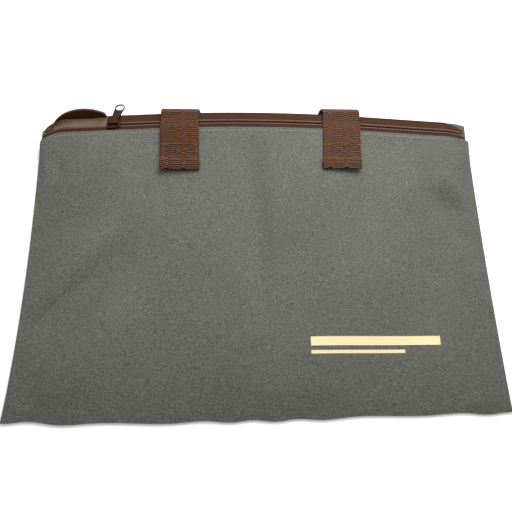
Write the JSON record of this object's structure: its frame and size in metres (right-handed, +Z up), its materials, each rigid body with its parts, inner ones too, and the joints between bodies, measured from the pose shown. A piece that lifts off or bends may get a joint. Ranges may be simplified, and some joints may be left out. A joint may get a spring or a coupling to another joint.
{
  "type": "document bag",
  "caption": "Flat document bag of coated cloth with a coil zip along the top and a folded webbing handle on each side, lying on its back with the zip part open.",
  "frame": {"origin": "on the table, under the middle of the bag's bounding box", "axes": "+X across the bag to its right, +Y from the bottom seam to the zip, +Z up"},
  "size_m": [0.44, 0.3079, 0.0217],
  "materials": {
    "grey_cloth": "matt plain weave, coated inside",
    "brown_binding": "matt woven tape",
    "brown_tape": "matt woven tape",
    "brown_coil": "satin nylon coil",
    "grey_thread": "bonded thread",
    "brown_thread": "bonded thread",
    "cream_print": "screen print",
    "brown_webbing": "ribbed woven webbing",
    "brown_enamel": "gloss enamel on die-cast zinc"
  },
  "bodies": {
    "bag": {"front_panel": "grey_cloth", "back_panel": "grey_cloth", "side_binding_left": "brown_binding", "side_binding_right": "brown_binding", "bottom_binding": "brown_binding", "zip_tape_front": "brown_tape", "zip_tape_back": "brown_tape", "zip_coil_front": "brown_coil", "zip_coil_back": "brown_coil", "front_topstitch": "grey_thread", "back_topstitch": "grey_thread", "printed_badge": "cream_print", "front_handle_end_left": "brown_webbing", "front_handle_end_right": "brown_webbing", "back_handle_end_left": "brown_webbing", "back_handle_end_right": "brown_webbing", "front_handle_stitching": "brown_thread", "back_handle_stitching": "brown_thread"},
    "front_handle": {"front_handle_fold_left": "brown_webbing", "front_handle_fold_right": "brown_webbing", "front_handle_loop": "brown_webbing"},
    "back_handle": {"back_handle_fold_left": "brown_webbing", "back_handle_fold_right": "brown_webbing", "back_handle_loop": "brown_webbing"},
    "slider": {"slider_body": "brown_enamel", "slider_bridge": "brown_enamel"},
    "pull": {"pull_tab": "brown_enamel"},
    "mouth_lip": {"zip_tape_back_lip": "brown_tape", "zip_coil_back_lip": "brown_coil"}
  },
  "joints": [
    {"name": "slider_travel", "type": "slide", "parent": "bag", "child": "slider", "axis": [0.9982, 0.025, 0.0549], "range_m": [-0.044, 0.018]},
    {"name": "pull_swing", "type": "hinge", "parent": "slider", "child": "pull", "pos_m": [-0.14522, 0.12821, 0.01651], "axis": [0.9982, 0.025, 0.0549], "range_deg": [0, 150]},
    {"name": "mouth_close", "type": "slide", "parent": "bag", "child": "mouth_lip", "axis": [0, -0.771, -0.6369], "range_m": [-0.0065, 0.015], "deforming": ["zip_tape_back_lip", "zip_coil_back_lip"]},
    {"name": "front_handle_swing", "type": "hinge", "parent": "bag", "child": "front_handle", "pos_m": [0, 0.1407, 0.00965], "axis": [1, 0, 0], "range_deg": [0, 180], "deforming": ["front_handle_fold_left", "front_handle_fold_right"]},
    {"name": "back_handle_swing", "type": "hinge", "parent": "bag", "child": "back_handle", "pos_m": [0, 0.10368, 0.0038], "axis": [1, 0, 0], "range_deg": [0, 180], "deforming": ["back_handle_fold_left", "back_handle_fold_right"]}
  ],
  "couplings": [
    {"joint": "mouth_close", "follows": "slider_travel", "ratio": -0.338},
    {"joint": "back_handle_swing", "follows": "front_handle_swing", "ratio": 1}
  ]
}
